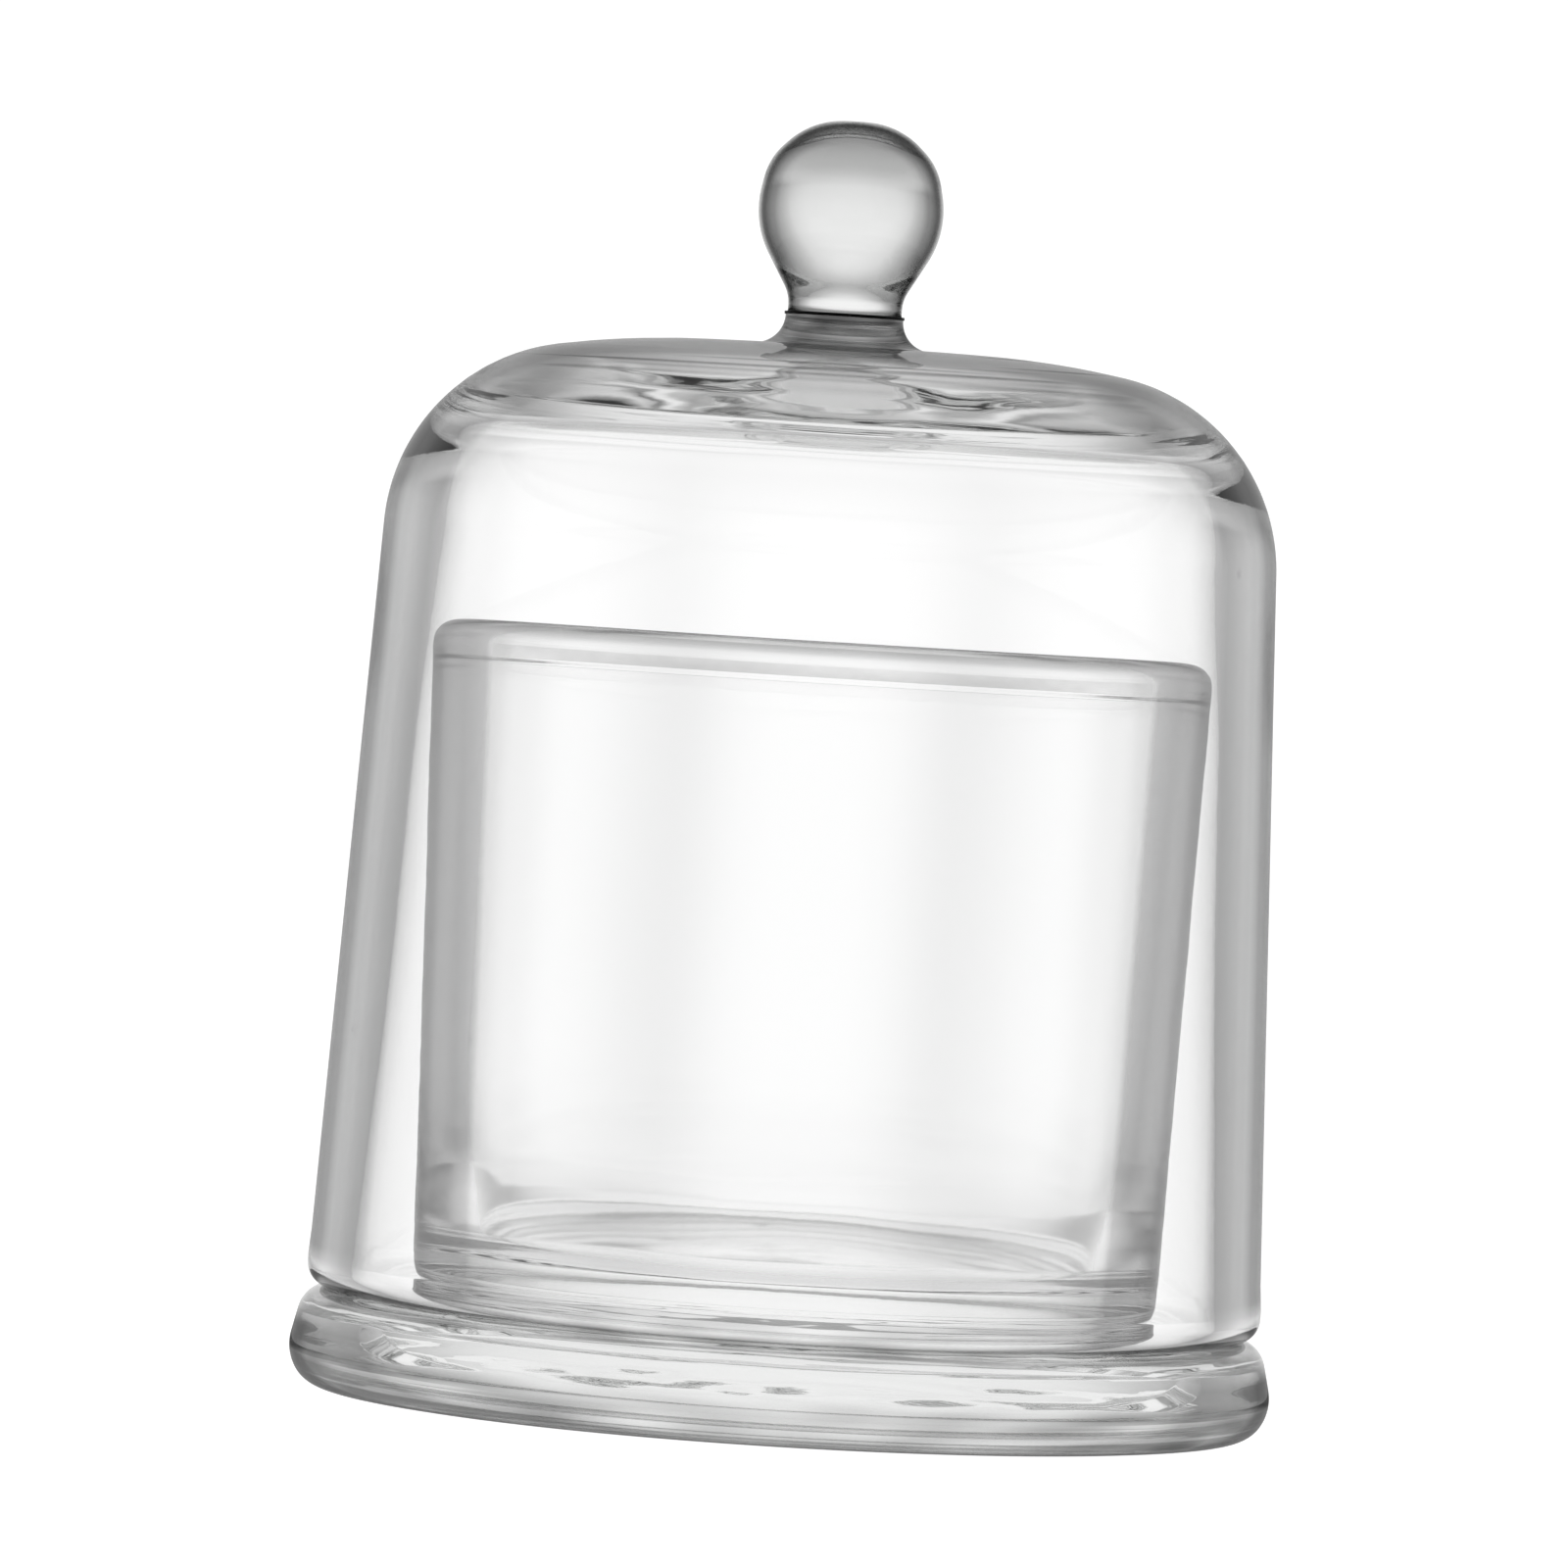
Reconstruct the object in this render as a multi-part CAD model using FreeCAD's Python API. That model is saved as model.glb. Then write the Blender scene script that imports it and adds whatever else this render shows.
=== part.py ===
"""Glass bell jar with a solid ball knob, over a thick-walled glass cup, on a round glass base.

Every piece is a body of revolution about Z, in millimetres. Z is 0 on the surface that the base stands on.

base_plate   pressed disc: rounded side, foot ring and stepped hollow underneath, and on top
             a ledge that carries the dome, round a low platform that keeps it centred
candle_cup   thick tumbler that stands loose on the platform
dome_shell   the bell: tapered wall, rounded rim, flat crown, and a solid collar drawn up from it
knob_bond    thin film that joins the collar to the knob
knob         solid ball on a short flared stem
"""
import FreeCAD
import Part

import math
import os

# Base plate
ledge_z = 10.2  # the dome's rim stands here
ledge_edge_radius = 48.77
side_corner_radius = 50.264  # the rounded side lies inside this corner: the plate is 100 mm across
side_corner_z = 3.6
side_rounding = 4.7
top_rounding = 3.1
foot_edge_radius = 48.6
foot_edge_z = 0.4
foot_rounding = 3.4
foot_flat_radius = 45.4
foot_inner_radius = 43.4
hollow_depth = 0.6
hollow_step_radius = 28.2
hollow_step = 0.8  # the middle of the hollow is this much deeper
hollow_rounding = 0.7
platform_radius = 42.4
platform_z = 11.7  # the cup stands here
platform_rounding = 0.8
platform_fillet = 0.4

# Cup
cup_height = 67.4
cup_heel_radius = 37.8
cup_top_radius = 39.75
cup_wall_top = 5.9
cup_rim_band = 0.2  # the wall is this much thicker, on the inside, along the rim
cup_rim_band_height = 3.6
cup_waist_radius = 33.4  # inside, where the wall starts to thicken towards the floor
cup_waist_z = 27.5
cup_waist_rounding = 120.0
cup_floor_radius = 31.6
cup_floor_thickness = 3.1
cup_floor_rise = 0.4  # the floor is flat in the middle and rises this much towards the wall
cup_floor_flat_radius = 16.0
cup_floor_bend = 40.0
cup_floor_fillet = 3.2
cup_rim_outer_rounding = 2.4
cup_rim_inner_rounding = 1.2
cup_heel_rounding = 1.4
cup_foot_width = 4.4
cup_punt = 0.5  # depth of the slight hollow under the cup
cup_punt_rounding = 5.0

# Dome
dome_bottom_radius = 48.42  # outside of the wall just above the rim's bead
dome_bottom_z = 16.0
dome_corner_radius = 44.82
dome_corner_z = 104.4
dome_shoulder_rounding = 20.1
crown_bend_radius = 21.5
crown_bend_z = 108.53
crown_bend_rounding = 90.0
crown_neck_z = 108.67
rim_wall = 4.5
rim_bead = 0.2  # the bead at the rim stands this far proud of the wall
rim_bead_height = 3.2
rim_outer_rounding = 2.3
rim_inner_rounding = 1.8
inside_waist_radius = 41.9
inside_waist_z = 45.0
inside_waist_rounding = 300.0
inside_neck_radius = 40.75
inside_neck_z = 71.0
inside_neck_rounding = 120.0
inside_top_radius = 38.3
inside_top_z = 98.8
inside_shoulder_rounding = 5.0
inside_crown_z = 99.8  # on the axis
inside_bend_radius = 20.0
inside_bend_drop = 0.15
inside_bend_rounding = 60.0

# Collar, bond and knob
collar_radius = 6.0
collar_fillet = 3.0
bond_z = 111.7
bond_thickness = 0.3
bond_radius = 6.1
stem_radius = 5.8
stem_z = 113.7
stem_fillet = 3.8
ball_lower_radius = 9.98
ball_lower_z = 120.97
ball_lower_rounding = 9.78
ball_upper_radius = 8.59
ball_upper_z = 127.53
ball_upper_rounding = 6.65
ball_top_radius = 4.32
ball_top_rounding = 8.1
overall_height = 131.6


def rounded_outline(corners):
    """A closed wire in the XZ plane through (radius, z, rounding) corners; an arc of that radius rounds each."""
    points = [FreeCAD.Vector(r, 0, z) for r, z, rounding in corners]
    count = len(points)
    arcs = []
    for i in range(count):
        here = points[i]
        rounding = corners[i][2]
        if rounding == 0:
            arcs.append((here, None, here))
            continue
        back = (points[i - 1] - here).normalize()
        ahead = (points[(i + 1) % count] - here).normalize()
        half = back.getAngle(ahead) / 2
        inward = (back + ahead).normalize()
        cut = rounding / math.tan(half)
        bulge = here + inward * (rounding / math.sin(half) - rounding)
        arcs.append((here + back * cut, bulge, here + ahead * cut))
    edges = []
    for i in range(count):
        start, bulge, end = arcs[i]
        following = arcs[(i + 1) % count][0]
        if bulge is not None:
            edges.append(Part.Arc(start, bulge, end).toShape())
        if end.distanceToPoint(following) > 1e-6:
            edges.append(Part.LineSegment(end, following).toShape())
    return Part.Wire(edges)


def turned(corners):
    """The solid that the outline sweeps in one turn about Z."""
    face = Part.Face(rounded_outline(corners))
    return face.revolve(FreeCAD.Vector(0, 0, 0), FreeCAD.Vector(0, 0, 1), 360)


def base_plate():
    deepest = hollow_depth + hollow_step
    return turned([
        (0, deepest, 0),
        (hollow_step_radius - hollow_step, deepest, hollow_rounding),
        (hollow_step_radius + hollow_step, hollow_depth, hollow_rounding),
        (foot_inner_radius - hollow_depth, hollow_depth, hollow_rounding),
        (foot_inner_radius, 0, 0.3),
        (foot_flat_radius, 0, 3.0),
        (foot_edge_radius, foot_edge_z, foot_rounding),
        (side_corner_radius, side_corner_z, side_rounding),
        (ledge_edge_radius, ledge_z, top_rounding),
        (platform_radius + 0.3, ledge_z, platform_fillet),
        (platform_radius, platform_z, platform_rounding),
        (0, platform_z, 0),
    ])


def candle_cup():
    top = platform_z + cup_height
    floor = platform_z + cup_floor_thickness
    foot_inside = cup_heel_radius - cup_foot_width
    return turned([
        (0, platform_z + cup_punt, 0),
        (foot_inside - 3.0, platform_z + cup_punt, cup_punt_rounding),
        (foot_inside, platform_z, cup_punt_rounding),
        (cup_heel_radius, platform_z, cup_heel_rounding),
        (cup_top_radius, top, cup_rim_outer_rounding),
        (cup_top_radius - cup_wall_top, top, cup_rim_inner_rounding),
        (cup_top_radius - cup_wall_top, top - cup_rim_band_height, 0.5),
        (cup_top_radius - cup_wall_top + cup_rim_band, top - cup_rim_band_height - 0.4, 0.5),
        (cup_waist_radius, cup_waist_z, cup_waist_rounding),
        (cup_floor_radius, floor + cup_floor_rise, cup_floor_fillet),
        (cup_floor_flat_radius, floor, cup_floor_bend),
        (0, floor, 0),
    ])


def dome_shell():
    proud = dome_bottom_radius + rim_bead
    bead_z = ledge_z + rim_bead_height
    return turned([
        (0, inside_crown_z, 0),
        (inside_bend_radius, inside_crown_z - inside_bend_drop, inside_bend_rounding),
        (inside_top_radius, inside_top_z, inside_shoulder_rounding),
        (inside_neck_radius, inside_neck_z, inside_neck_rounding),
        (inside_waist_radius, inside_waist_z, inside_waist_rounding),
        (proud - rim_wall, ledge_z, rim_inner_rounding),
        (proud, ledge_z, rim_outer_rounding),
        (proud, bead_z, 2.0),
        (dome_bottom_radius, dome_bottom_z, 6.0),
        (dome_corner_radius, dome_corner_z, dome_shoulder_rounding),
        (crown_bend_radius, crown_bend_z, crown_bend_rounding),
        (collar_radius, crown_neck_z, collar_fillet),
        (collar_radius, bond_z, 0),
        (0, bond_z, 0),
    ])


def knob_bond():
    return Part.makeCylinder(bond_radius, bond_thickness, FreeCAD.Vector(0, 0, bond_z))


def knob():
    foot = bond_z + bond_thickness
    return turned([
        (0, foot, 0),
        (stem_radius, foot, 0),
        (stem_radius, stem_z, stem_fillet),
        (ball_lower_radius, ball_lower_z, ball_lower_rounding),
        (ball_upper_radius, ball_upper_z, ball_upper_rounding),
        (ball_top_radius, overall_height, ball_top_rounding),
        (0, overall_height, 0),
    ])


def main():
    os.makedirs("parts", exist_ok=True)
    for make in (base_plate, candle_cup, dome_shell, knob_bond, knob):
        name = make.__name__
        solid = make()
        solid.exportStep("parts/" + name + ".step")
        box = solid.optimalBoundingBox(False, False)
        print(name, "valid:", solid.isValid(), "volume:", round(solid.Volume),
              "radius:", round(box.XMax, 2), "z:", round(box.ZMin, 2), "to", round(box.ZMax, 2))


main()
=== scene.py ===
"""Looks of a glass bell jar: dome with a ball knob, cup and base, clear glass on a white table."""

import math

import bpy
from mathutils import Matrix, Vector, noise


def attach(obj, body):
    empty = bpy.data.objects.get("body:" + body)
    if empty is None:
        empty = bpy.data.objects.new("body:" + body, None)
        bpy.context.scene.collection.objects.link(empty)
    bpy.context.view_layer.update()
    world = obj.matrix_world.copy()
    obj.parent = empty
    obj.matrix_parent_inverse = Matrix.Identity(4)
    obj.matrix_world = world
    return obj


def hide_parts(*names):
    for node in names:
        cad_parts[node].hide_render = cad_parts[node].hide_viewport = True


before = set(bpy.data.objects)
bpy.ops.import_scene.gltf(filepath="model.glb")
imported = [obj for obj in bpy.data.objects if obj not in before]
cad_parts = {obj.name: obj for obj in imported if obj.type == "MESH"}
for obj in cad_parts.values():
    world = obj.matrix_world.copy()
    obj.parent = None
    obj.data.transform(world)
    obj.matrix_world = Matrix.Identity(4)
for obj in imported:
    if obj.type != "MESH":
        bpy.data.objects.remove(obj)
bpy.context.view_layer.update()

MM = 0.001  # metres
SEGMENTS = 256  # points round the axis

# Heights and radii in mm.
GAP = 0.02  # air left between two pieces that rest on each other
LEDGE_Z = 10.2  # of the base, under the dome's rim
PLATFORM_Z = 11.7  # top of the base, under the cup
BASE_SIDE_RADIUS = 45.6  # beyond this a point is on the base's side
DOME_SIDE_RADIUS = 46.5  # beyond this a low point of the dome is on its outer side
CUP_BOTTOM_Z = 12.2  # middle of the hollow under the cup
CUP_FLOOR_Z = 14.8
CUP_RIM_Z = 79.1
CROWN_Z = 102.0  # from here up the dome's outer face is crown or collar
COLLAR_Z = 111.7  # top of the dome's collar
COLLAR_RADIUS = 6.0
KNOB_Z = 112.0  # underside of the knob
KNOB_TOP_Z = 131.6
FILM_Z = 111.71  # underside of the black film between collar and knob
FILM_TOP_Z = 111.99
FILM_RADIUS = 6.12
FACE_RADIUS = 5.9  # within this the collar's top is covered by the film

TABLE_RADIUS = 0.13  # metres
TABLE_Z = -0.0002  # metres, just under the base

# The picture: its lean, width and scale on the axis.
ROLL = math.radians(3.55)
PICTURE_WIDTH = 1600
PIXELS_PER_MM = 10.02
SENSOR_WIDTH = 36


# ---------------------------------------------------------------- outlines
def rounded(corners, fine=0.22, coarse=2.2):
    """Outline points (r, z) in mm by way of the corners (r, z, rounding), from axis to axis.

    Steps are about fine mm long on a rounding and at most coarse mm long on a straight.
    """
    last = len(corners) - 1
    arcs = []
    for i, (r, z, rounding) in enumerate(corners):
        here = Vector((r, z))
        if rounding == 0 or i in (0, last):
            arcs.append([here])
            continue
        back = (Vector(corners[i - 1][:2]) - here).normalized()
        ahead = (Vector(corners[i + 1][:2]) - here).normalized()
        half = back.angle(ahead) / 2
        centre = here + (back + ahead).normalized() * (rounding / math.sin(half))
        start = here + back * (rounding / math.tan(half)) - centre
        turn = math.pi - 2 * half
        if start.y * back.x - start.x * back.y < 0:
            turn = -turn
        step = min(fine * (1 + rounding / 12), rounding * 0.12)  # longer on a wide rounding
        count = max(2, math.ceil(abs(turn) * rounding / step))
        turns = [Matrix.Rotation(turn * k / count, 2) for k in range(count + 1)]
        arcs.append([centre + rotation @ start for rotation in turns])
    points = [arcs[0][0]]
    for arc in arcs[1:]:
        here = points[-1]
        parts = max(1, math.ceil((arc[0] - here).length / coarse))
        points += [here.lerp(arc[0], k / parts) for k in range(1, parts + 1)]
        points += arc[1:]
    return points


def ripple(r, z, angle, size, seed):
    """Smooth noise over a turned surface, from about -1 to 1, with features of about size mm."""
    place = Vector((r * math.cos(angle), r * math.sin(angle), z))
    return noise.noise(place / size + Vector((seed, 0, 0)))


def nothing(*where):
    return 0.0


def lathe(name, points, body, node, material, push=nothing, inner=(), shade=nothing,
          haze=nothing, bright=nothing):
    """A closed turned solid. push(r, z, angle, k) moves point k that many mm along its normal.

    The points numbered in inner are hidden faces; the rest form the outline of the glass.
    shade(r, z, angle), from 0 to 1, is painted shade: it marks where a dark closure is mixed in so
    the glass looks dark as if from what lies behind it. haze(r, z, side) roughens the surface; side
    is 1 outside and 0 on hidden faces. bright(z), from 0 to 1, takes away the painted dark look of
    glass seen edge-on.
    """
    verts = []
    loops = []
    outside = []
    shades = []
    hazes = []
    for k, p in enumerate(points):
        side = 0.0 if k in inner else 1.0
        dull = haze(p.x, p.y, side)
        mark = side * (1 - bright(p.y))
        if p.x < 1e-6:
            loops.append([len(verts)])
            verts.append((0.0, 0.0, p.y * MM))
            outside.append(mark)
            shades.append(shade(p.x, p.y, 0.0))
            hazes.append(dull)
            continue
        along = (points[k + 1] - points[k - 1]).normalized()
        loop = []
        for s in range(SEGMENTS):
            a = 2 * math.pi * s / SEGMENTS
            shift = push(p.x, p.y, a, k)
            r = p.x + along.y * shift
            z = p.y - along.x * shift
            loop.append(len(verts))
            verts.append((r * math.cos(a) * MM, r * math.sin(a) * MM, z * MM))
            outside.append(mark)
            shades.append(shade(p.x, p.y, a))
            hazes.append(dull)
        loops.append(loop)
    faces = []
    for low, high in zip(loops, loops[1:]):
        for s in range(SEGMENTS):
            t = (s + 1) % SEGMENTS
            if len(low) == 1:
                faces.append((low[0], high[t], high[s]))
            elif len(high) == 1:
                faces.append((low[s], low[t], high[0]))
            else:
                faces.append((low[s], low[t], high[t], high[s]))
    mesh = bpy.data.meshes.new(name)
    mesh.from_pydata(verts, [], faces)
    mesh.shade_smooth()
    mesh.attributes.new("outside", "FLOAT", "POINT").data.foreach_set("value", outside)
    mesh.attributes.new("shade", "FLOAT", "POINT").data.foreach_set("value", shades)
    mesh.attributes.new("haze", "FLOAT", "POINT").data.foreach_set("value", hazes)
    mesh.materials.append(material)
    piece = bpy.data.objects.new(name, mesh)
    bpy.context.scene.collection.objects.link(piece)
    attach(piece, body)
    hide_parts(node)
    return piece


# ---------------------------------------------------------------- node helpers
class Nodes:
    """Short ways to add and join nodes in one tree."""

    def __init__(self, tree):
        self.tree = tree
        tree.nodes.clear()

    def add(self, kind, values=(), **settings):
        node = self.tree.nodes.new(kind)
        for key, value in settings.items():
            setattr(node, key, value)
        for key, value in dict(values).items():
            self.put(node.inputs[key], value)
        return node

    def put(self, socket, value):
        if isinstance(value, bpy.types.NodeSocket):
            self.tree.links.new(value, socket)
        else:
            socket.default_value = value

    def maths(self, operation, *values):
        return self.add("ShaderNodeMath", enumerate(values), operation=operation).outputs[0]

    def mark(self, name):
        """What lathe() wrote on the points under this name."""
        return self.add("ShaderNodeAttribute", attribute_name=name).outputs["Fac"]

    def aside(self, direction):
        """Angle from a direction to the nearest of the planes x = 0 and y = 0, up to 45 degrees."""
        split = self.add("ShaderNodeSeparateXYZ", {0: direction})
        azimuth = self.maths("ARCTAN2", split.outputs[0], split.outputs[1])
        return self.maths("ABSOLUTE", self.maths("WRAP", azimuth, math.pi / 4, -math.pi / 4))

    def ramp(self, value, stops, interpolation="LINEAR"):
        node = self.add("ShaderNodeValToRGB", {0: value})
        elements = node.color_ramp.elements
        node.color_ramp.interpolation = interpolation
        while len(elements) < len(stops):
            elements.new(0.5)
        for element, (place, grey) in zip(elements, stops):
            element.position = place
            element.color = (grey, grey, grey, 1)
        return node.outputs[0]


# ---------------------------------------------------------------- materials
# Painted shade for glass seen edge-on, in place of the dark surroundings its edges would show:
# how much dark is mixed in against how far the surface turns away (0 face-on to 1 edge-on,
# darkness).
EDGE = [(0.0, 0.0), (0.60, 0.0), (0.66, 0.12), (0.72, 0.4), (0.79, 0.9), (0.85, 1.0), (1.0, 1.0)]
CUP_EDGE = [(0.0, 0.0), (0.47, 0.0), (0.50, 0.43), (0.60, 0.40), (0.66, 0.38), (0.72, 0.5),
            (0.79, 0.9), (0.85, 1.0), (1.0, 1.0)]
DOME_EDGE = [(0.0, 0.0), (0.52, 0.0), (0.55, 0.28), (0.66, 0.28), (0.72, 0.4), (0.79, 0.9),
             (0.85, 1.0), (1.0, 1.0)]
KNOB_EDGE = [(0.0, 0.0), (0.20, 0.0), (0.36, 0.20), (0.48, 0.42), (0.56, 0.65), (0.63, 0.80),
             (0.70, 0.78), (0.76, 0.52), (0.85, 0.3), (1.0, 0.3)]


def glass(name, seed, wave, bubbles, density, limb=1.0, dark_edge=0.6, stops=EDGE):
    """Clear pressed glass: wavy skin, a few seeds, with painted shade where it is seen edge-on.

    wave is the skin's bump strength, bubbles the share of cells with a seed, density the
    absorption per metre, limb how far the painted edge shade darkens the base colour, and
    dark_edge the strength of the dark closure painted over glass seen edge-on.
    """
    mat = bpy.data.materials.new(name)
    mat.use_nodes = True
    n = Nodes(mat.node_tree)
    place = n.add("ShaderNodeTexCoord").outputs["Object"]
    moved = n.add("ShaderNodeMapping", {0: place, "Location": (seed, seed * 0.7, 0)}).outputs[0]
    swell = n.add("ShaderNodeTexNoise", {"Vector": moved, "Scale": 55.0, "Detail": 1.0}).outputs[0]
    skin = n.add("ShaderNodeTexNoise", {"Vector": moved, "Scale": 260.0, "Detail": 2.0}).outputs[0]
    cells = n.add("ShaderNodeTexVoronoi", {"Vector": moved, "Scale": 85.0})
    chance = n.add("ShaderNodeSeparateColor", {0: cells.outputs["Color"]}).outputs[0]
    rare = n.maths("GREATER_THAN", chance, 1 - bubbles)
    dot = n.ramp(cells.outputs["Distance"], [(0, 1), (0.035, 0.8), (0.06, 0)], "EASE")
    seeds = n.maths("MULTIPLY", dot, rare)
    height = n.maths("MULTIPLY_ADD", swell, 1.0, n.maths("MULTIPLY", skin, 0.12))
    height = n.maths("MULTIPLY_ADD", seeds, 0.35, height)
    bump = n.add("ShaderNodeBump", {"Height": height, "Strength": wave, "Distance": MM}).outputs[0]
    smear = n.add("ShaderNodeTexNoise", {"Vector": moved, "Scale": 30.0, "Detail": 4.0}).outputs[0]
    rough = n.add("ShaderNodeMapRange", {0: smear, 1: 0.55, 2: 0.8, 3: 0.0, 4: 0.03}).outputs[0]
    rough = n.maths("ADD", rough, n.mark("haze"))
    facing = n.add("ShaderNodeLayerWeight", {"Blend": 0.5}).outputs["Facing"]
    outside = n.mark("outside")
    # Painted shade: the base colour of the outer faces darkens as they turn edge-on, scaled by
    # limb; hidden faces stay almost clear.
    shaded_tint = n.ramp(facing, [(0.0, 1.0), (0.38, 0.985), (0.46, 0.88 * limb), (0.55, 0.80 * limb),
                           (0.62, 0.66 * limb), (0.70, 0.48 * limb), (1.0, 0.4 * limb)])
    shaded_tint = n.add("ShaderNodeMix", {0: outside, 6: (0.99, 0.99, 0.99, 1), 7: shaded_tint},
                 data_type="RGBA").outputs[2]
    clear = n.add("ShaderNodeBsdfPrincipled", {
        "Base Color": shaded_tint, "Transmission Weight": 1.0, "IOR": 1.5, "Roughness": rough,
        "Normal": bump})
    # Painted shade: a dark closure is mixed over front faces by how edge-on they are and by the
    # shade attribute, and a little at each seed.
    dark = n.add("ShaderNodeBsdfDiffuse", {"Color": (0.03, 0.03, 0.03, 1)})
    edge = n.maths("MULTIPLY", n.ramp(facing, stops), n.maths("MULTIPLY", outside, dark_edge))
    edge = n.maths("MAXIMUM", edge, n.mark("shade"))
    edge = n.maths("MAXIMUM", edge, n.maths("MULTIPLY", seeds, 0.3))
    front = n.maths("SUBTRACT", 1.0, n.add("ShaderNodeNewGeometry").outputs["Backfacing"])
    edge = n.maths("MULTIPLY", edge, front)
    both = n.add("ShaderNodeMixShader", {0: edge, 1: clear.outputs[0], 2: dark.outputs[0]})
    depth = n.add("ShaderNodeVolumeAbsorption",
                  {"Color": (0.8, 0.805, 0.8, 1), "Density": density})
    n.add("ShaderNodeOutputMaterial", {"Surface": both.outputs[0], "Volume": depth.outputs[0]})
    return mat


def bond():
    """Cured film between two pieces of glass: black at its edge, grey and flecked over its face."""
    mat = bpy.data.materials.new("bond_film")
    mat.use_nodes = True
    n = Nodes(mat.node_tree)
    place = n.add("ShaderNodeTexCoord").outputs["Object"]
    fleck = n.add("ShaderNodeTexNoise", {"Vector": place, "Scale": 900.0, "Detail": 3.0}).outputs[0]
    flat = n.add("ShaderNodeVectorMath", {0: place, 1: (1, 1, 0)}, operation="MULTIPLY").outputs[0]
    out = n.add("ShaderNodeVectorMath", {0: flat}, operation="LENGTH").outputs["Value"]
    black_from = 0.0061  # metres from the axis, just inside the film's edge
    face = n.ramp(n.maths("DIVIDE", out, black_from),
                  [(0.0, 0.45), (0.8, 0.38), (0.9, 0.03), (1.0, 0.002)])
    grey = n.maths("MULTIPLY", face, n.ramp(fleck, [(0.0, 0.6), (0.6, 1.0), (0.8, 1.3)]))
    rough = n.add("ShaderNodeMapRange", {0: fleck, 1: 0.3, 2: 0.8, 3: 0.35, 4: 0.7}).outputs[0]
    bump = n.add("ShaderNodeBump",
                 {"Height": fleck, "Strength": 0.3, "Distance": 0.0001}).outputs[0]
    bsdf = n.add("ShaderNodeBsdfPrincipled", {
        "Base Color": grey, "Roughness": rough, "Normal": bump, "Specular IOR Level": 0.05})
    n.add("ShaderNodeOutputMaterial", {"Surface": bsdf.outputs[0]})
    return mat


# ---------------------------------------------------------------- pieces
# Corners (r, z, rounding) in mm, each outline from the bottom on the axis round to the top.
base = rounded([
    # hollow underside
    (0, 1.4, 0), (27.4, 1.4, 0.7), (29.0, 0.6, 0.7), (42.8, 0.6, 0.7), (43.4, 0, 0.3),
    # foot and swelling side
    (45.4, 0, 3.0), (48.6, 0.4, 3.4), (50.264, 3.6, 4.7), (48.77, LEDGE_Z, 3.1),
    # ledge and platform
    (42.7, LEDGE_Z, 0.4), (42.4, PLATFORM_Z, 0.8), (0, PLATFORM_Z, 0),
])
cup = rounded([
    # slightly hollow bottom
    (0, CUP_BOTTOM_Z, 0), (30.4, CUP_BOTTOM_Z, 5.0), (33.4, PLATFORM_Z + GAP, 5.0),
    (37.8, PLATFORM_Z + GAP, 1.4),
    # rim, with a step inside it
    (39.75, CUP_RIM_Z, 2.4), (33.85, CUP_RIM_Z, 1.2), (33.85, 75.5, 0.5), (34.05, 75.1, 0.5),
    # inner wall and floor
    (33.4, 27.5, 120.0), (31.6, 15.2, 3.2), (16.0, CUP_FLOOR_Z, 40.0), (0, CUP_FLOOR_Z, 0),
])
dome = rounded([
    # ceiling and inner wall
    (0, 99.8, 0), (20.0, 99.65, 60.0), (38.3, 98.8, 5.0), (40.75, 71.0, 120.0),
    (41.9, 45.0, 300.0), (44.12, LEDGE_Z + GAP, 1.8),
    # beaded rim
    (48.62, LEDGE_Z + GAP, 2.3), (48.62, 13.4, 2.0), (48.42, 16.0, 6.0),
    # shoulder, crown and collar
    (44.82, 104.4, 20.1), (21.5, 108.53, 90.0), (COLLAR_RADIUS, 108.67, 3.0),
    (COLLAR_RADIUS, COLLAR_Z, 0), (0, COLLAR_Z, 0),
])
knob = rounded([
    # stem
    (0, KNOB_Z, 0), (5.8, KNOB_Z, 0), (5.8, 113.7, 3.8),
    # ball
    (9.98, 120.97, 9.78), (8.59, 127.53, 6.65), (4.32, KNOB_TOP_Z, 8.1), (0, KNOB_TOP_Z, 0),
])
film = [Vector(p) for p in ((0, FILM_Z), (FILM_RADIUS, FILM_Z), (FILM_RADIUS, FILM_TOP_Z),
                            (0, FILM_TOP_Z))]

# Numbers of the points where the outline passes from the inside to the outside or back.
cup_rim = max(range(len(cup)), key=lambda k: cup[k].y)
dome_rim = min(range(len(dome)), key=lambda k: dome[k].y)


def ease(x, start, end):
    """0 before start, 1 past end (which may be the smaller), a straight slope between."""
    return min(max((x - start) / (end - start), 0), 1)


def rings(r, angle, size, seed):
    """Noise that follows the turned rings: long round the axis, about size mm across them."""
    wobble = 0.35 * noise.noise(Vector((math.cos(angle) * 1.3, math.sin(angle) * 1.3, seed)))
    drift = math.cos(angle) * 0.9 + math.sin(angle) * 0.5
    return noise.noise(Vector((r / size + wobble, seed, drift)))


# Each *_push gives the small waves of a piece in mm; waves fade out towards the axis.
def base_push(r, z, angle, k):
    fade = min(r / 12, 1)
    if z < 2 and r < 42:
        return fade * (0.05 * rings(r, angle, 3.5, 3) + 0.06 * ripple(r, z, angle, 5.5, 3))
    if z > 9:
        return fade * 0.03 * rings(r, angle, 2.0, 8)
    return 0.0


def cup_push(r, z, angle, k):
    if k > cup_rim and z < 30:
        fade = min(r / 10, 1) * ease(z, 30, 18)
        return fade * (0.16 * rings(r + z, angle, 4, 21) + 0.10 * ripple(r, z, angle, 11, 20))
    return 0.015 * ripple(r, z, angle, 30, 24)


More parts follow.
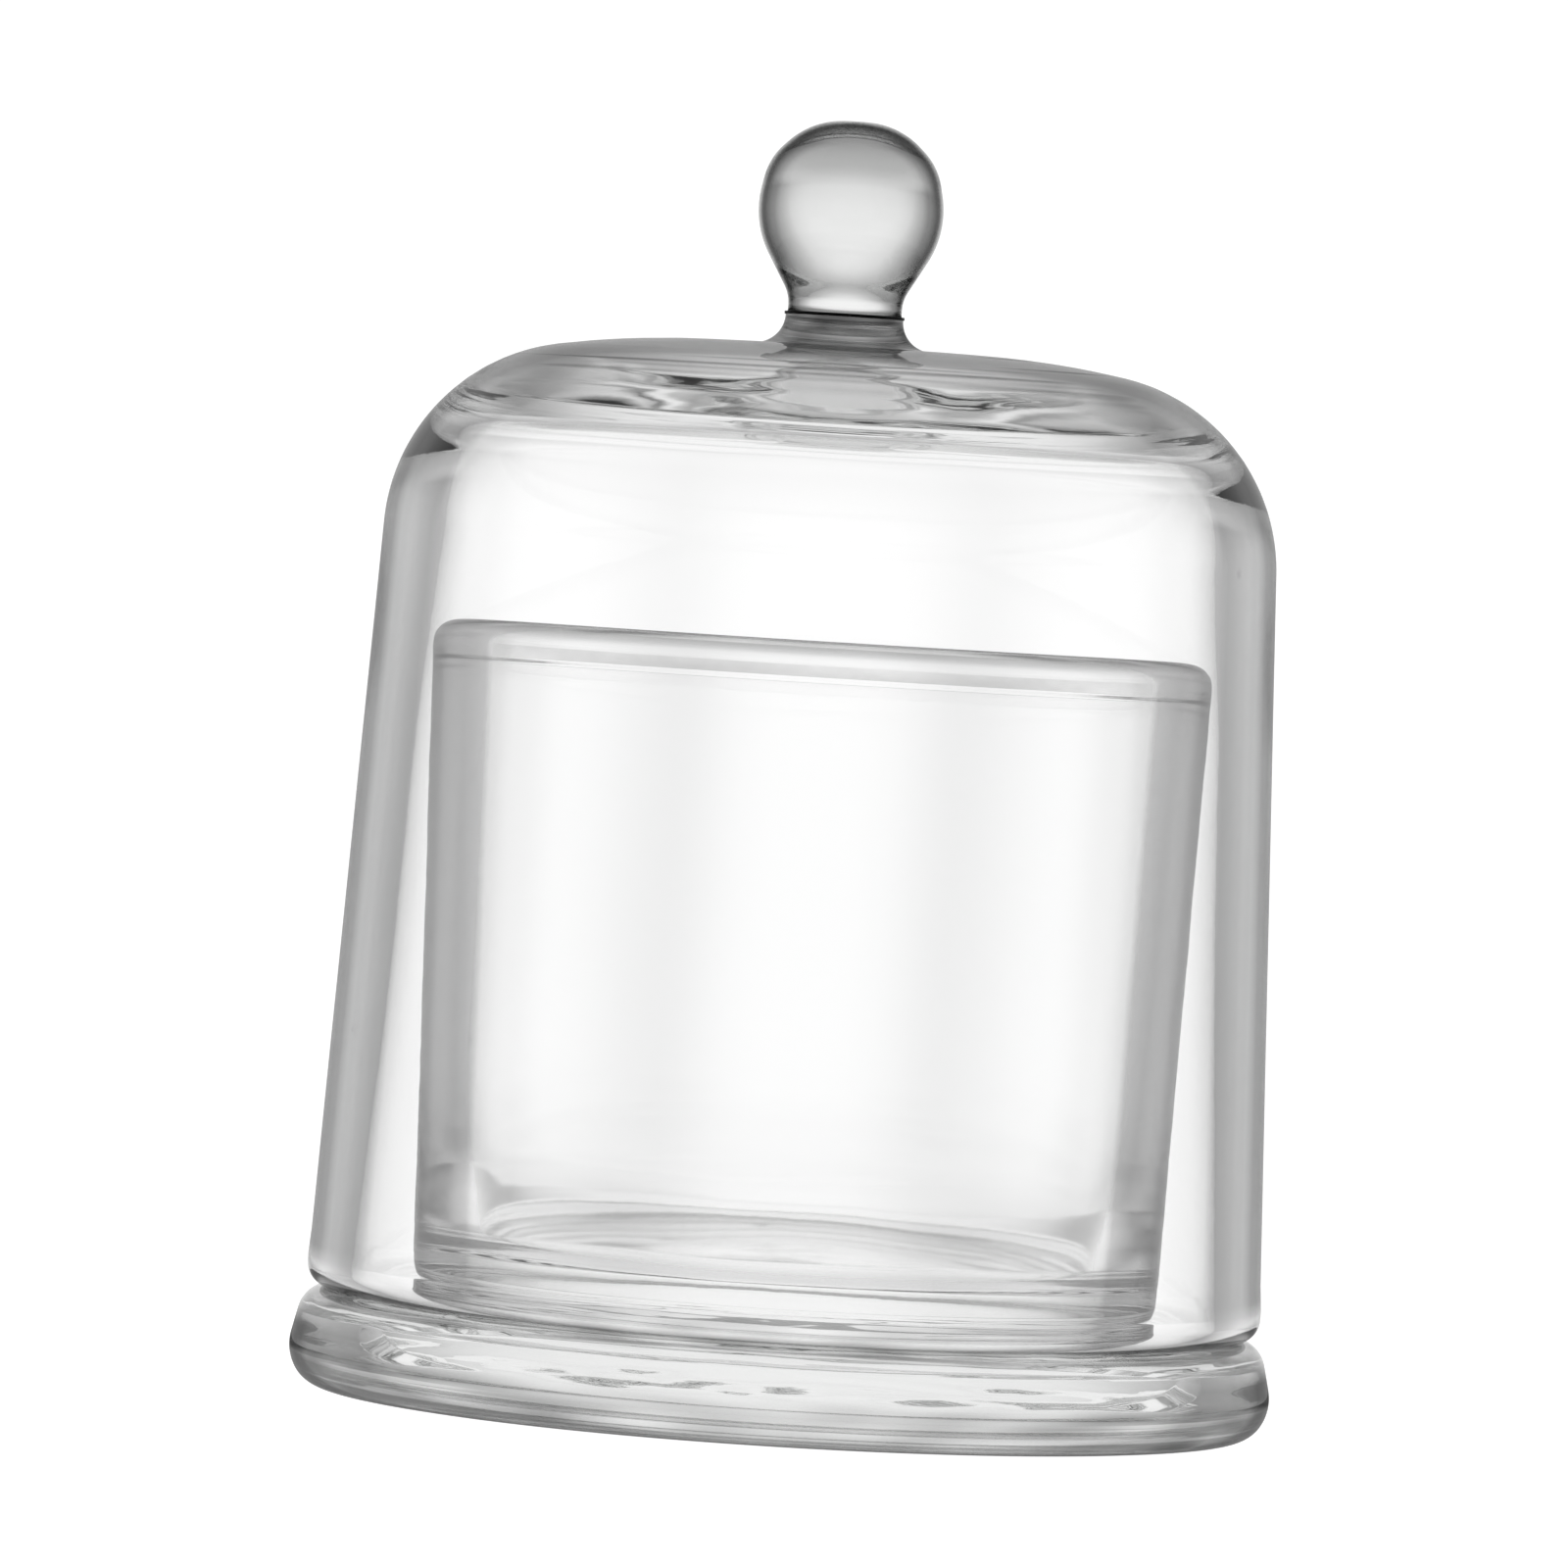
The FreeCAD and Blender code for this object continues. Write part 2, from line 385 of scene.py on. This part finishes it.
def dome_push(r, z, angle, k):
    if k < dome_rim:
        ceiling = ease(z, 85, 97) * min(r / 8, 1)
        swirl = 0.05 * rings(r, angle, 2.4, 33) + 0.035 * ripple(r, z, angle, 10, 40)
        return ceiling * swirl + 0.02 * ripple(r, z, angle, 26, 44)
    if r < 10:
        return 0.0
    crown = ease(z, 92, 99) * ease(r, 10, 15)
    return 0.012 * ripple(r, z, angle, 22, 50) + crown * 0.022 * rings(r - z, angle, 1.5, 37)


# Each *_shade gives the painted shade of a piece, where the glass should look dark from what lies
# behind it: bands by height, broken up by noise.
def base_shade(r, z, angle):
    if r < BASE_SIDE_RADIUS:
        return 0.0
    # Painted shade: the base's side is darker low down near the foot and in mottled bands near its
    # top edge.
    foot = 0.29 * ease(z, 5.2, 4.4) + 0.10 * ease(z, 2.2, 1.0)
    low = foot * (1 + 1.1 * ripple(r, 5 * z, angle, 9, 61))
    high = 0.22 * ease(z, 8.6, 9.6) * (1 + 1.6 * ripple(r, 5 * z, angle, 7, 62))
    return max(low, high, 0)


def cup_shade(r, z, angle):
    # Painted shade: a darker band along the top of the rim.
    rim = 0.04 * ease(z, 75.0, 75.8) + 0.28 * ease(z, 77.6, 78.8)
    return rim * (1 + 0.6 * ripple(r, 5 * z, angle, 9, 65))


def dome_shade(r, z, angle):
    if z > COLLAR_Z - 0.1 and r < FACE_RADIUS:
        return 0.0
    if z > CROWN_Z:
        # Painted shade: the collar is darker, as if the black film showed through it, with dark
        # streaks over the top of the crown.
        collar = 0.72 * ease(r, 9.5, 8.0) * (1 + 0.4 * ripple(r, 3 * z, angle, 4, 63))
        shade_streaks = 0.30 * ease(z, 102.5, 105.5) * (1 + 2.6 * rings(r - z, angle, 1.0, 71))
        return min(max(collar, shade_streaks, 0), 0.9)
    if r < DOME_SIDE_RADIUS:
        return 0.0
    # Painted shade: a darker band round the outside of the dome's rim, low down.
    return max(0.15 * ease(z, 12.8, 12.0) * (1 + 1.6 * ripple(r, 5 * z, angle, 7, 64)), 0)


def dome_haze(r, z, side):
    if z > COLLAR_Z - 0.01 and r < FACE_RADIUS:
        return 0.35
    if z < 11.5:  # underside of the rim
        return 0.12
    return 0.025 * ease(z, 93, 97) if side < 0.5 else 0.0


base_glass = glass("base_glass", 1.3, 0.06, 0.03, 10.0, limb=0.45, dark_edge=0.75)
cup_glass = glass("cup_glass", 2.1, 0.03, 0.04, 8.0, stops=CUP_EDGE)
dome_glass = glass("dome_glass", 3.7, 0.03, 0.05, 8.0, stops=DOME_EDGE)
knob_glass = glass("knob_glass", 4.9, 0.004, 0.02, 60.0, limb=0.8, dark_edge=1.0, stops=KNOB_EDGE)
# Platform and underside of the base.
hidden = [k for k, p in enumerate(base) if p.y > 10.4 or (p.y < 1.5 and p.x < 43.2)]
lathe("base", base, "base", "base_plate", base_glass, base_push, hidden, base_shade,
      bright=lambda z: 0.75 * ease(z, 6.8, 8.4))
# Inside and underside of the cup.
hidden = [k for k, p in enumerate(cup) if k > cup_rim or p.y < 12.3]
lathe("cup", cup, "cup", "candle_cup", cup_glass, cup_push, hidden, cup_shade,
      haze=lambda r, z, side: 0.08 * ease(z, 30, 20) * ease(r, 24, 30) if side < 0.5 else 0.0)
lathe("dome", dome, "dome", "dome_shell", dome_glass, dome_push, range(dome_rim),
      dome_shade, dome_haze, bright=lambda z: 0.75 * ease(z, 14.0, 12.6))
# Painted shade: the upper part of the ball is darker.
lathe("knob_ball", knob, "dome", "knob", knob_glass,
      shade=lambda r, z, angle: 0.16 * ease(z, 120, 127),
      haze=lambda r, z, side: 0.3 if z < KNOB_Z + 0.01 else 0.0)
lathe("knob_film", film, "dome", "knob_bond", bond())

# ---------------------------------------------------------------- table
disc = bpy.data.meshes.new("floor")
DISC_SIDES = 64
turns = [2 * math.pi * k / DISC_SIDES for k in range(DISC_SIDES)]
disc.from_pydata([(TABLE_RADIUS * math.cos(a), TABLE_RADIUS * math.sin(a), TABLE_Z) for a in turns],
                 [], [tuple(range(DISC_SIDES))])
floor = bpy.data.objects.new("floor", disc)
bpy.context.scene.collection.objects.link(floor)
white = bpy.data.materials.new("floor_white")
white.use_nodes = True
n = Nodes(white.node_tree)
place = n.add("ShaderNodeTexCoord").outputs["Object"]
away = n.add("ShaderNodeVectorMath", {0: place}, operation="LENGTH").outputs["Value"]
away = n.maths("DIVIDE", away, TABLE_RADIUS)
# The light that the table gives the glass falls off outwards and towards its four diagonals.
corner = n.ramp(n.maths("DIVIDE", n.aside(place), math.pi / 4),
                [(0.0, 0.0), (0.4, 0.0), (0.6, 0.35), (0.8, 0.8), (1.0, 0.9)])
corner = n.maths("MULTIPLY", corner, n.ramp(away, [(0.0, 0.0), (0.48, 0.0), (0.62, 1.0)]))
# Painted shadow: inside about a third of its radius, under the base, the glow is dimmer.
glow = n.ramp(away, [(0.0, 0.75), (0.32, 0.75), (0.40, 0.95), (0.55, 0.95), (0.8, 0.88),
                     (1.0, 0.85)])
glow = n.maths("MULTIPLY", glow, n.maths("SUBTRACT", 1.0, corner))
direct = n.add("ShaderNodeLightPath").outputs["Is Camera Ray"]
glow = n.add("ShaderNodeMix", {0: direct, 2: glow, 3: 1.0}).outputs[0]
bsdf = n.add("ShaderNodeBsdfPrincipled", {
    "Base Color": (0.2, 0.2, 0.2, 1), "Roughness": 0.8, "Specular IOR Level": 0.2,
    "Emission Color": (1, 1, 1, 1), "Emission Strength": glow})
n.add("ShaderNodeOutputMaterial", {"Surface": bsdf.outputs[0]})
disc.materials.append(white)

# ---------------------------------------------------------------- light
world = bpy.data.worlds.new("studio")
scene = bpy.context.scene
scene.world = world
world.use_nodes = True
n = Nodes(world.node_tree)
# A soft panel stands on each of four sides, and each dims with the angle away from its middle.
way = n.add("ShaderNodeTexCoord").outputs["Generated"]
level = n.maths("ARCSINE", n.add("ShaderNodeSeparateXYZ", {0: way}).outputs[2])
height = n.maths("MULTIPLY_ADD", level, 1 / math.pi, 0.5)  # 0 straight down, 1 straight up
# Below the table's edge the four panels widen into one.
low = n.ramp(height, [(0.0, 0.25), (75 / 180, 0.25), (81 / 180, 1.0), (1.0, 1.0)])
aside = n.maths("MULTIPLY", n.aside(way), low)
off = n.maths("ARCCOSINE", n.maths("MULTIPLY", n.maths("COSINE", aside), n.maths("COSINE", level)))
panel = n.ramp(n.maths("DIVIDE", off, math.pi / 2), [
    (0.0, 1.0), (14 / 90, 1.0), (18 / 90, 0.98), (21 / 90, 0.95), (25 / 90, 0.88), (29 / 90, 0.79),
    (33 / 90, 0.67), (39 / 90, 0.52), (45 / 90, 0.42), (60 / 90, 0.28), (1.0, 0.3)])
# The panels are brighter overhead and underfoot, and dimmer a little below the level.
tall = n.ramp(height, [
    (0.0, 1.2), (30 / 180, 1.5), (45 / 180, 1.1), (56 / 180, 0.66), (73 / 180, 0.66),
    (77 / 180, 0.74), (80 / 180, 0.86), (82 / 180, 0.96), (0.5, 1.0), (110 / 180, 1.0),
    (125 / 180, 1.2), (134 / 180, 1.4), (1.0, 1.1)])
panel = n.maths("MULTIPLY", n.maths("MULTIPLY", panel, tall), 1.05)
direct = n.add("ShaderNodeLightPath").outputs["Is Camera Ray"]
panel = n.add("ShaderNodeMix", {0: direct, 2: panel, 3: 1.1}).outputs[0]
sky = n.add("ShaderNodeBackground", {"Color": panel})
n.add("ShaderNodeOutputWorld", {0: sky.outputs[0]})

# ---------------------------------------------------------------- camera
target = Vector((-0.0032, 0, 0.0639))  # what the middle of the picture looks at
camera = bpy.data.objects.new("camera", bpy.data.cameras.new("camera"))
scene.collection.objects.link(camera)
scene.camera = camera
camera.location = (target.x, -1.2, 0.093)  # metres: far back, 93 mm above the table
sight = target - camera.location
camera.rotation_mode = "QUATERNION"
roll = Matrix.Rotation(ROLL, 4, "Z").to_quaternion()
camera.rotation_quaternion = sight.to_track_quat("-Z", "Y") @ roll
camera.data.sensor_width = SENSOR_WIDTH
camera.data.lens = PIXELS_PER_MM * sight.length * 1000 * SENSOR_WIDTH / PICTURE_WIDTH
camera.data.clip_start = 0.05

scene.view_settings.view_transform = "Standard"
scene.cycles.max_bounces = 32
scene.cycles.transmission_bounces = 32
scene.cycles.glossy_bounces = 16
